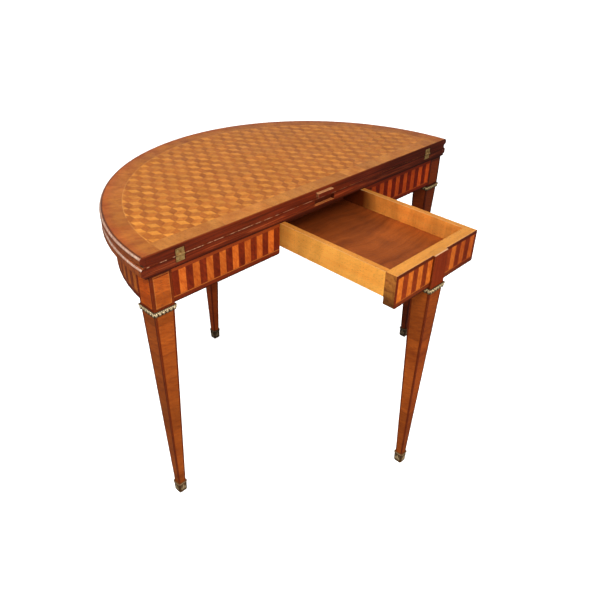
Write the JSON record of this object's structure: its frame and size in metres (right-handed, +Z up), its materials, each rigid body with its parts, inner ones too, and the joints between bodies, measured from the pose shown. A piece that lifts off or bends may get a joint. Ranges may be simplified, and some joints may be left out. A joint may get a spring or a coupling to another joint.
{
  "type": "demilune games table",
  "caption": "Half-round fold-over table in parquetry with tapered legs, whose drawer carries a leg under the opened leaf.",
  "frame": {"origin": "on the floor, under the middle of the whole table's bounding box with the drawer fully out and the leaf folded", "axes": "+X along the straight side, to the right for someone facing it; +Y towards the curved side; +Z up"},
  "size_m": [1.12, 0.9248, 0.75],
  "materials": {
    "leaf_core_veneer": "French-polished rosewood edge and cross-grain border",
    "lower_moulding_veneer": "French-polished cross-grain rosewood",
    "upper_moulding_veneer": "French-polished cross-grain rosewood",
    "parquetry": "polished cube parquetry in three tones of wood with cross-grain borders",
    "baize": "green wool baize",
    "tongue_wood": "bare pale hardwood",
    "hinge_brass": "old brass, dulled",
    "steel": "plain steel",
    "straight_apron_veneer": "polished vertical stripes of light and dark veneer",
    "curved_apron_veneer": "polished vertical stripes of light and dark veneer",
    "leg_veneer": "polished tulipwood panels in light stringing and dark corner bands",
    "drawer_leg_veneer": "polished tulipwood panels in light stringing and dark corner bands",
    "collar_bronze": "aged gilt bronze",
    "sabot_bronze": "aged dark bronze",
    "carcass_wood": "bare old pine",
    "drawer_front_veneer": "polished vertical stripes of light and dark veneer",
    "drawer_wood": "waxed honey-coloured hardwood",
    "drawer_floor_wood": "waxed brown hardwood"
  },
  "bodies": {
    "table_frame": {"fixed_leaf": "leaf_core_veneer", "fixed_leaf_moulding": "lower_moulding_veneer", "fixed_baize": "baize", "hinge_fixed_left": "hinge_brass", "hinge_fixed_right": "hinge_brass", "hinge_pin_left": "steel", "hinge_pin_right": "steel", "left_apron": "straight_apron_veneer", "right_apron": "straight_apron_veneer", "curved_apron_left": "curved_apron_veneer", "curved_apron_right": "curved_apron_veneer", "leg_left": "leg_veneer", "leg_right": "leg_veneer", "leg_rear": "leg_veneer", "collar_left": "collar_bronze", "collar_right": "collar_bronze", "collar_rear": "collar_bronze", "sabot_left": "sabot_bronze", "sabot_right": "sabot_bronze", "sabot_rear": "sabot_bronze", "guide_left": "carcass_wood", "guide_right": "carcass_wood", "runner_left": "carcass_wood", "runner_right": "carcass_wood", "back_rail": "carcass_wood", "drawer_stop": "carcass_wood", "stop_screw": "steel", "glue_block_left": "carcass_wood", "glue_block_left_1": "carcass_wood", "glue_block_left_2": "carcass_wood", "glue_block_right": "carcass_wood", "glue_block_right_1": "carcass_wood", "glue_block_right_2": "carcass_wood"},
    "folding_leaf_body": {"folding_leaf": "parquetry", "folding_leaf_moulding": "upper_moulding_veneer", "folding_baize": "baize", "leaf_tongue": "tongue_wood", "hinge_moving_left": "hinge_brass", "hinge_moving_right": "hinge_brass"},
    "drawer_body": {"drawer_front": "drawer_front_veneer", "drawer_side_left": "drawer_wood", "drawer_side_right": "drawer_wood", "drawer_back": "drawer_wood", "drawer_bottom": "drawer_floor_wood", "leg_drawer": "drawer_leg_veneer", "collar_drawer": "collar_bronze", "sabot_drawer": "sabot_bronze"}
  },
  "joints": [
    {"name": "leaf_hinge", "type": "hinge", "parent": "table_frame", "child": "folding_leaf_body", "pos_m": [0, -0.09765, 0.724], "axis": [1, 0, 0], "range_deg": [0, 180]},
    {"name": "drawer_slide", "type": "slide", "parent": "table_frame", "child": "drawer_body", "axis": [0, 1, 0], "range_m": [0, 0.356]}
  ]
}
